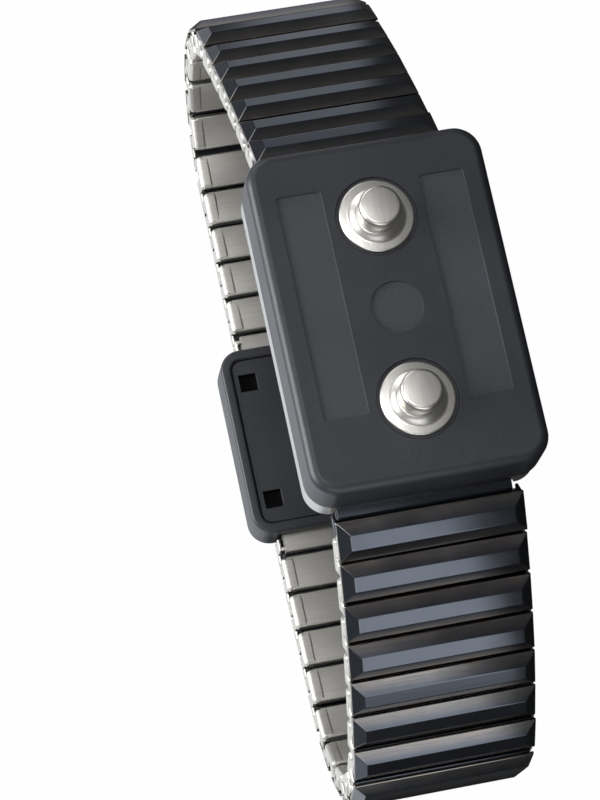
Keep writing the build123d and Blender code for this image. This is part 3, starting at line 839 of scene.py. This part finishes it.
def band_marks(half, sizes, staple_rise):
    """Guide points for the steel parts and for the covers of one half of the band."""
    names, points, headings, pivots = band_path(half, sizes.pitch, sizes.end_gap)
    steel, covers = [], []
    half_turn = Matrix.Rotation(math.pi, 3, "Y")
    leg_height = (sizes.tube_height + sizes.fit_gap) / 2
    reach = sizes.staple_reach

    def mark(rows, link, part, at, axes, size=(1.0, 1.0, 1.0)):
        rows.append({"link": link, "part": part, "at": at, "turn": axes.to_euler(), "size": size})

    def outer_frame(number):
        middle = (points[number - 1] + points[number]) / 2
        return middle, link_axes(half, headings[number]), outer_lift(sizes, headings, number)

    def mark_sides(link, part, at, axes):
        for end in (-1, 1):
            facing = axes if axes.col[2].z * end > 0 else axes @ half_turn
            mark(steel, link, part, at + Vector((0, 0, end * sizes.band_width / 2)), facing)

    for number in range(len(names) + 1):
        pivot_axes = link_axes(half, pivots[number])
        mark(steel, number, INNER_TUBE, points[number], pivot_axes)
        mark(steel, number, INNER_SPRING, points[number], pivot_axes)
        if 0 < number < len(names):
            mark_sides(number, INNER_CAP, points[number], pivot_axes)
        for flank in (-1, 1):
            outer_number = number if flank < 0 else number + 1
            if outer_number in (0, len(names) + 1):
                continue
            low = points[number] + pivot_axes @ Vector((flank * reach, sizes.tube_height / 2, 0))
            middle, axes, lift = outer_frame(outer_number)
            high = middle + axes @ Vector((-flank * (sizes.pitch / 2 - reach), lift + leg_height, 0))
            upright = (high - low).normalized()
            towards_pivot = upright.cross(Vector((0, 0, 1)))
            if towards_pivot.dot(pivot_axes.col[0]) * flank > 0:
                towards_pivot.negate()
            for end in (-1, 1):
                across = Vector((0, 0, end))
                stand = Matrix((towards_pivot, upright, across)).transposed()
                mirror = math.copysign(1.0, stand.determinant())
                if mirror < 0:
                    stand = Matrix((-towards_pivot, upright, across)).transposed()
                stretch = (high - low).length / staple_rise
                mark(steel, number, STAPLE, low + across * sizes.band_width / 2, stand,
                     (mirror, stretch, 1.0))
        if number == 0:
            continue
        middle, axes, lift = outer_frame(number)
        base = middle + axes.col[1] * lift
        top = middle + axes.col[1] * (lift + sizes.tube_height)
        mark(covers, number, OUTER_TUBE, base, axes)
        mark(steel, number, OUTER_SPRING, base, axes)
        mark(covers, number, COVER, top, axes)
        mark_sides(number, SIDE_TAB, top, axes)
    return names, steel, covers


# ---- operators ----
class STRAP_OT_band_links(bpy.types.Operator):
    """Lays the tubes, springs, staples and black covers of both halves of the band"""
    bl_idname = "strap.band_links"
    bl_label = "Band links"

    def execute(self, context):
        sizes = context.scene.wrist_strap.links
        steel_finish, enamel = finish("link steel"), finish("black link enamel")
        staple_rise = sizes.tube_height * STAPLE_RISE
        outer_length = sizes.pitch - sizes.link_gap
        inner_width = sizes.band_width - 2 * sizes.inner_inset
        steel_parts = part_shelf("steel part", [
            spring_mesh("outer spring", sizes.band_width, sizes, steel_finish),
            tube_mesh("inner tube", outer_length - sizes.link_gap, inner_width, sizes, steel_finish),
            spring_mesh("inner spring", inner_width, sizes, steel_finish),
            staple_mesh(sizes, staple_rise, steel_finish),
            side_tab_mesh(sizes, steel_finish),
            inner_cap_mesh(sizes, steel_finish)])
        black_parts = part_shelf("black part", [
            cover_mesh(sizes, enamel),
            tube_mesh("outer tube", outer_length, sizes.band_width, sizes, enamel)])
        tree = pitch_tree()

        def lay(name, guide, number, parts, material):
            return lay_link(name, tree, guide, number, parts, sizes, material)

        for half in SIDES:
            names, steel, covers = band_marks(half, sizes, staple_rise)
            steel_guide = guide_mesh(f"steel guide {half}", steel)
            cover_guide = guide_mesh(f"cover guide {half}", covers)
            end_link = lay(f"end_link_steel_{half}", steel_guide, 0, steel_parts, enamel)
            hand_over(end_link, "housing", "link_steel", f"end_link_{half}")
            for number, body in enumerate(names, start=1):
                label = f"{half}_{number:02d}"
                node = f"band_{half}_link_{number:02d}"
                tubes = lay(f"link_steel_{label}", steel_guide, number, steel_parts, steel_finish)
                hand_over(tubes, body, "link_steel", node)
                ridge = lay(f"link_cover_{label}", cover_guide, number, black_parts, enamel)
                hand_over(ridge, body, "link_black", node)
        clear_shelf(steel_parts)
        clear_shelf(black_parts)
        return {"FINISHED"}


def cover_rings(middle, size_x, size_z, y_open, y_face, wall, corner, edge, rim=0.0, steps=7):
    """Rings of a cup: inside floor, inside wall, rim, outside wall and rounded outer edge."""
    outward = math.copysign(1, y_face - y_open)

    def ring(inset, y):
        return rounded_ring(size_x - 2 * inset, size_z - 2 * inset, corner - inset, y, middle)

    rings = [ring(wall, y_face - outward * wall), ring(wall, y_open + outward * rim)]
    if rim:
        for step in range(1, steps):
            angle = math.pi * step / steps
            inset = rim * (1 + math.cos(angle))
            if angle < math.pi / 2:
                inset += wall - 2 * rim
            rings.append(ring(inset, y_open + outward * rim * (1 - math.sin(angle))))
    rings.append(ring(0.0, y_open + outward * rim))
    for step in range(steps + 1):
        angle = math.pi / 2 * step / steps
        rings.append(ring(edge * (1 - math.cos(angle)), y_face - outward * edge * (1 - math.sin(angle))))
    return rings


def notch_box(bm, half, index, sizes, gap):
    """Room for the inner link that enters a housing or block, at the first or last pivot line."""
    _, points, _, pivots = band_path(half, sizes.pitch, sizes.end_gap)
    axes = link_axes(half, pivots[index])
    reach = (sizes.pitch - 2 * sizes.link_gap) / 2 + gap
    width = sizes.band_width / 2 - sizes.inner_inset + gap
    corners = []
    for z in (-width, width):
        ring = []
        for x, y in ((-reach, -gap), (reach, -gap), (reach, sizes.tube_height + gap),
                     (-reach, sizes.tube_height + gap)):
            ring.append(points[index] + axes @ Vector((x, y, z)))
        corners.append(ring)
    add_stack(bm, corners)


PANEL_CORNER = 1.6           # corner radius of a label panel, against its depth
DISC_STEPS = 64              # sides of the round recess
TURNED_STEPS = 72            # sides of the studs, flanges and their seats


class STRAP_OT_housing_cover(bpy.types.Operator):
    """Moulds the black cover with its label panels, round recess and stud seats"""
    bl_idname = "strap.housing_cover"
    bl_label = "Housing cover"

    def execute(self, context):
        sizes = context.scene.wrist_strap.housing
        spacing = context.scene.wrist_strap.studs.spacing
        plastic, panel_grain = finish("black satin plastic"), finish("label panel grain")
        bm = bmesh.new()
        size = cover_high - cover_low
        add_stack(bm, cover_rings(MIDDLE, size.x, size.z, RIM_Y, FACE_Y, sizes.wall, sizes.corner,
                                  sizes.edge))
        cover = new_object("housing_cover_shell", mesh_from(bm, "housing cover", plastic, panel_grain))
        bm = bmesh.new()
        depth = sizes.panel_depth
        flare = depth / 4
        for side in (-1, 1):
            centre = MIDDLE + Vector((sizes.panel_shift, 0, side * sizes.panel_offset))
            rings = []
            for inset, y in ((-flare, -depth), (flare, depth)):
                rings.append(rounded_ring(sizes.panel_length - 2 * inset, sizes.panel_width - 2 * inset,
                                          depth * PANEL_CORNER, FACE_Y + y, centre, 5))
            add_stack(bm, rings)
        turn = Matrix.Rotation(math.pi / 2, 4, "X")
        disc = bmesh.new()
        radius = sizes.disc_radius
        add_lathe(disc, [(0, -depth), (radius, -depth), (radius, depth), (0, depth)], DISC_STEPS)
        disc.transform(Matrix.Translation((MIDDLE.x, FACE_Y, MIDDLE.z)) @ turn)
        disc_mesh = bpy.data.meshes.new("disc")
        disc.to_mesh(disc_mesh)
        disc.free()
        bm.from_mesh(disc_mesh)
        carve(cover, mesh_from(bm, "panel cutter", panel_grain))
        recesses = ((sizes.seat_radius, sizes.seat_depth), (sizes.hole_radius, 2 * sizes.wall))
        for x in (-spacing / 2, spacing / 2):
            for radius, reach in recesses:
                flare = radius + 2 * sizes.crease
                bm = bmesh.new()
                top = reach + sizes.crease
                add_lathe(bm, [(0, -reach), (radius, -reach), (radius, -sizes.crease),
                               (flare, sizes.crease), (flare, top), (0, top)], TURNED_STEPS)
                bm.transform(Matrix.Translation((MIDDLE.x + x, FACE_Y, MIDDLE.z)) @ turn)
                carve(cover, mesh_from(bm, "seat cutter", plastic))
        weigh_normals(cover.data)
        hand_over(cover, "housing", "black_plastic", "housing_cover")
        return {"FINISHED"}


class STRAP_OT_case_back(bpy.types.Operator):
    """Presses the steel case back with a notch at each end for the band"""
    bl_idname = "strap.case_back"
    bl_label = "Case back"

    def execute(self, context):
        sizes = context.scene.wrist_strap.housing
        links = context.scene.wrist_strap.links
        steel = finish("case steel")
        size = case_high - case_low
        middle = (case_low + case_high) / 2
        inset = (cover_high.x - cover_low.x - size.x) / 2
        bm = bmesh.new()
        add_stack(bm, cover_rings(middle, size.x, size.z, case_low.y, case_high.y, sizes.case_wall,
                                  sizes.corner - inset, sizes.case_edge))
        tray = new_object("case_back_tray", mesh_from(bm, "case back", steel))
        for half in SIDES:
            bm = bmesh.new()
            notch_box(bm, half, 0, links, sizes.notch_gap)
            carve(tray, mesh_from(bm, "notch cutter", steel))
        ease_edges(tray, sizes.case_wall / 6)
        hand_over(tray, "housing", "case_steel", "case_back")
        return {"FINISHED"}


DISH_FOOT = 0.8              # where the dish of a flange starts to rise, against its radius
DISH_TOP = 0.12              # where it ends, as a share of the way from the bore to the rim
DISH_BORE = 0.9              # height left at the bore, as a share of the dish


class STRAP_OT_snap_studs(bpy.types.Operator):
    """Turns the two snap studs and their dished flanges"""
    bl_idname = "strap.snap_studs"
    bl_label = "Snap studs"

    def execute(self, context):
        sizes = context.scene.wrist_strap.studs
        seat = context.scene.wrist_strap.housing.seat_depth
        nickel = finish("stud nickel")
        neck_top = sizes.height - sizes.head_height - sizes.ease
        arc = []
        for step in range(7):
            angle = math.pi / 2 * step / 6
            arc.append((sizes.head - sizes.ease * (1 - math.cos(angle)),
                        sizes.height - sizes.ease * (1 - math.sin(angle))))
        shank, foot = sizes.shank, -sizes.shank_length
        stud_profile = [(0, foot), (shank, foot), (shank, -seat), (sizes.neck, -seat),
                        (sizes.neck, neck_top), (sizes.head, neck_top + sizes.ease),
                        *arc, (0, sizes.height)]
        bore = sizes.neck + context.scene.wrist_strap.links.fit_gap / 2
        sheet = sizes.flange_sheet
        flange_profile = [(bore, -seat), (sizes.flange, -seat), (sizes.flange, -seat + sheet * 0.5)]
        for step in range(1, 5):
            angle = math.pi / 2 * step / 4
            flange_profile.append((sizes.flange - sheet * 0.5 * (1 - math.cos(angle)),
                                   -seat + sheet * 0.5 * (1 + math.sin(angle))))
        rise_from = sizes.flange * DISH_FOOT
        rise_to = bore + (sizes.flange - bore) * DISH_TOP
        for step in range(9):
            share = step / 8
            rise = share * share * (3 - 2 * share)
            flange_profile.append((rise_from + (rise_to - rise_from) * share,
                                   -seat + sheet + sizes.dish * rise))
        flange_profile.append((bore, -seat + sheet + sizes.dish * DISH_BORE))
        turned = (("snap_stud_turned", "snap_stud", add_lathe, stud_profile),
                  ("stud_flange_dished", "stud_flange", add_ring_lathe, flange_profile))
        for half, side in SIDES.items():
            at = Matrix.Translation((MIDDLE.x + side * sizes.spacing / 2, FACE_Y, MIDDLE.z))
            for name, node, add_turned, profile in turned:
                bm = bmesh.new()
                add_turned(bm, profile, TURNED_STEPS)
                bm.transform(at @ Matrix.Rotation(math.pi / 2, 4, "X"))
                piece = new_object(f"{name}_{half}", mesh_from(bm, node, nickel))
                smooth(piece.data)
                hand_over(piece, "housing", "stud_nickel", f"{node}_{half}")
        return {"FINISHED"}


class STRAP_OT_insulator_block(bpy.types.Operator):
    """Moulds the insulator block: its cup and the plate with two square windows"""
    bl_idname = "strap.insulator_block"
    bl_label = "Insulator block"

    def execute(self, context):
        sizes = context.scene.wrist_strap.block
        links = context.scene.wrist_strap.links
        gap = context.scene.wrist_strap.housing.notch_gap
        plastic = finish("black satin plastic")
        size = block_high - block_low
        bm = bmesh.new()
        add_stack(bm, cover_rings(BLOCK_MIDDLE, size.x, size.z, block_low.y, block_high.y, sizes.wall,
                                  sizes.corner, sizes.edge, sizes.rim))
        cup = new_object("block_cup", mesh_from(bm, "block cup", plastic))
        plate_size = plate_high - plate_low
        corner = sizes.corner - (size.x - plate_size.x) / 2
        bm = bmesh.new()
        add_stack(bm, [rounded_ring(plate_size.x, plate_size.z, corner, y, BLOCK_MIDDLE)
                       for y in (plate_low.y, plate_high.y)])
        plate = new_object("block_plate_windowed", mesh_from(bm, "block plate", plastic))
        bm = bmesh.new()
        for end in (-1, 1):
            x = BLOCK_MIDDLE.x + end * sizes.window_spacing / 2
            z = block_high.z - sizes.window_inset
            half_window = sizes.window / 2
            add_box(bm, (x - half_window, plate_low.y - sizes.wall, z - half_window),
                    (x + half_window, plate_low.y + sizes.window_depth, z + half_window))
        # The window floors take the near-black finish, painted shade in the windows.
        carve(plate, mesh_from(bm, "window cutter", finish("window shade")))
        for half in SIDES:
            for piece in (cup, plate):
                bm = bmesh.new()
                notch_box(bm, half, -1, links, gap)
                carve(piece, mesh_from(bm, "mouth cutter", plastic))
        ease_edges(cup, gap / 5)
        ease_edges(plate, gap / 4)
        hand_over(cup, "block", "black_plastic", "block_shell")
        hand_over(plate, "block", "black_plastic", "block_plate")
        return {"FINISHED"}


class STRAP_OT_carried_parts(bpy.types.Operator):
    """Gives the carried-over parts inside the housing and the block their finishes"""
    bl_idname = "strap.carried_parts"
    bl_label = "Carried-over parts"

    def execute(self, context):
        chosen = {"case_liner": "liner plastic", "block_divider": "liner plastic"}
        for half in SIDES:
            chosen[f"stud_rivet_{half}"] = "stud nickel"
            chosen[f"terminal_strip_{half}"] = "terminal brass"
            chosen[f"block_clip_{half}"] = "link steel"
        for node, name in chosen.items():
            mesh = frame["nodes"][node].data
            mesh.materials.clear()
            mesh.materials.append(finish(name))
        return {"FINISHED"}


# ---- stage ----
CAMERA_FROM_RIM = Vector((-0.09616, -0.32490, 0.06409))
CAMERA_AZIMUTH = math.radians(15.529)
CAMERA_DOWN = math.radians(9.123)
CAMERA_ROLL = math.radians(-99.771)
CAMERA_LENS = 165.6
SKY_COLOUR = (0.95, 0.97, 1.0, 1.0)
SKY_STRENGTH = 0.22
# Softboxes: name, direction from the strap, distance, size in metres and power in watts.
SOFTBOXES = (("top", (0.15, -0.25, 1.0), 0.6, (0.45, 0.45), 5.5),
             ("end", (1.0, -0.45, 0.25), 0.6, (0.3, 0.4), 0.8),
             ("low", (-1.0, -0.5, 0.2), 0.6, (0.3, 0.4), 0.8),
             ("front", (0.1, -1.0, 0.1), 0.8, (0.4, 0.4), 2.2))


def add_camera(context):
    data = bpy.data.cameras.new("front camera")
    data.lens = CAMERA_LENS
    data.sensor_width = 36.0
    data.clip_start = 0.01
    data.clip_end = 20.0
    camera = new_object("front camera", data)
    camera.location = Vector((MIDDLE.x, RIM_Y, MIDDLE.z)) + CAMERA_FROM_RIM
    forward = Vector((math.sin(CAMERA_AZIMUTH) * math.cos(CAMERA_DOWN),
                      math.cos(CAMERA_AZIMUTH) * math.cos(CAMERA_DOWN), -math.sin(CAMERA_DOWN)))
    upright = forward.to_track_quat("-Z", "Y").to_matrix()
    turned = upright @ Matrix.Rotation(CAMERA_ROLL, 3, "Z")
    camera.rotation_euler = turned.to_euler()
    context.scene.camera = camera


def add_softbox(name, direction, distance, size, power):
    """Rectangular area light that faces the middle of the strap."""
    data = bpy.data.lights.new(name, "AREA")
    data.shape = "RECTANGLE"
    data.size, data.size_y = size
    data.energy = power
    light = new_object(name, data)
    away = Vector(direction).normalized()
    light.location = MIDDLE + away * distance
    light.rotation_euler = away.to_track_quat("Z", "Y").to_euler()


class STRAP_OT_stage(bpy.types.Operator):
    """Sets the pale floor with its curved backdrop, the soft lights and the camera"""
    bl_idname = "strap.stage"
    bl_label = "Stage"

    def execute(self, context):
        colours = context.scene.wrist_strap.colours
        half_width, front, back, height, bend = 3.0, -2.0, 1.6, 2.4, 0.6
        profile = [(front, 0.0), (back - bend, 0.0)]
        for step in range(1, 13):
            angle = math.pi / 2 * step / 12
            profile.append((back - bend + bend * math.sin(angle), bend * (1 - math.cos(angle))))
        profile.append((back, height))
        bm = bmesh.new()
        rows = [[bm.verts.new((x, y, z)) for y, z in profile] for x in (-half_width, half_width)]
        for i in range(len(profile) - 1):
            bm.faces.new((rows[0][i], rows[1][i], rows[1][i + 1], rows[0][i + 1]))
        mesh = bpy.data.meshes.new("floor")
        bm.to_mesh(mesh)
        bm.free()
        mesh.materials.append(floor_finish(colours.floor))
        mesh.shade_smooth()
        floor = new_object("floor", mesh)
        world = bpy.data.worlds.new("studio")
        world.use_nodes = True
        sky = world.node_tree.nodes["Background"]
        sky.inputs["Color"].default_value = SKY_COLOUR
        sky.inputs["Strength"].default_value = SKY_STRENGTH
        context.scene.world = world
        for name, direction, distance, size, power in SOFTBOXES:
            add_softbox(f"{name} softbox", direction, distance, size, power)
        context.scene.view_settings.view_transform = "Standard"
        add_camera(context)
        return {"FINISHED"}


class STRAP_PT_panel(bpy.types.Panel):
    """Lists the steps that build the wrist strap"""
    bl_idname = "STRAP_PT_panel"
    bl_label = "Wrist strap"
    bl_space_type = "VIEW_3D"
    bl_region_type = "UI"
    bl_category = "Wrist strap"

    def draw(self, context):
        settings = context.scene.wrist_strap
        for part in settings.__annotations__:
            group = getattr(settings, part)
            box = self.layout.box()
            for name in group.__annotations__:
                box.prop(group, name)
        for step in STEPS:
            self.layout.operator(step.bl_idname)


STEPS = (STRAP_OT_housing_cover, STRAP_OT_case_back, STRAP_OT_snap_studs, STRAP_OT_band_links,
         STRAP_OT_insulator_block, STRAP_OT_carried_parts, STRAP_OT_stage)
CLASSES = (LinkSizes, HousingSizes, StudSizes, BlockSizes, FinishColours, StrapSettings, *STEPS,
           STRAP_PT_panel)


def register():
    for cls in CLASSES:
        bpy.utils.register_class(cls)
    bpy.types.Scene.wrist_strap = PointerProperty(type=StrapSettings)


def unregister():
    del bpy.types.Scene.wrist_strap
    for cls in reversed(CLASSES):
        bpy.utils.unregister_class(cls)


def main():
    register()
    bpy.ops.strap.housing_cover()
    bpy.ops.strap.case_back()
    bpy.ops.strap.snap_studs()
    bpy.ops.strap.band_links()
    bpy.ops.strap.insulator_block()
    bpy.ops.strap.carried_parts()
    bpy.ops.strap.stage()


if __name__ == "__main__":
    main()
